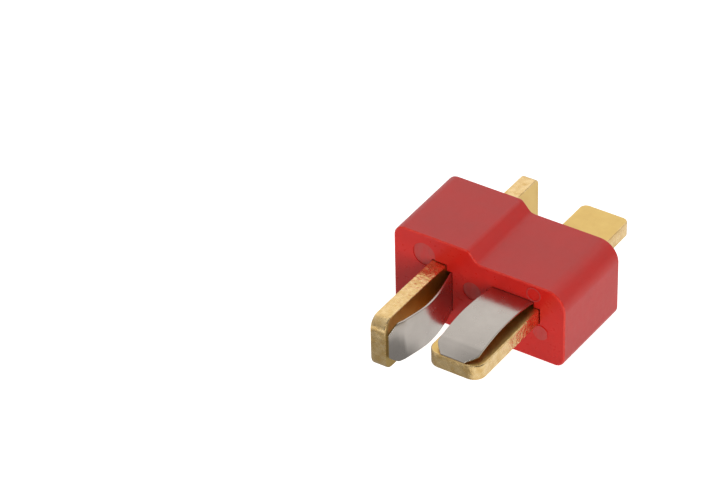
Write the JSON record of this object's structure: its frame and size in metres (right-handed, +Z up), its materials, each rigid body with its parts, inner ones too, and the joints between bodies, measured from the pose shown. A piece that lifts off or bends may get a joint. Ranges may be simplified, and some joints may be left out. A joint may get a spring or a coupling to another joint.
{
  "type": "battery lead connector plug",
  "caption": "Polarised two-pole power plug: gold-plated blades at right angles with bowed leaf springs, solder tabs behind, in a stepped moulded housing.",
  "frame": {"origin": "middle of the housing's flat bottom face", "axes": "+X across the width towards the flat contact, -Y the way the blades point, +Y towards the solder tabs, +Z up"},
  "size_m": [0.016, 0.0231, 0.0081],
  "materials": {
    "housing_nylon": "moulded nylon, satin top and sides, glossier mating face",
    "gold_plate": "gold plate over stamped brass, fine grain on the sheared edges",
    "spring_steel": "satin spring steel"
  },
  "bodies": {
    "root": {"housing": "housing_nylon", "upright_contact": "gold_plate", "flat_contact": "gold_plate", "upright_spring": "spring_steel", "flat_spring": "spring_steel"}
  },
  "joints": []
}
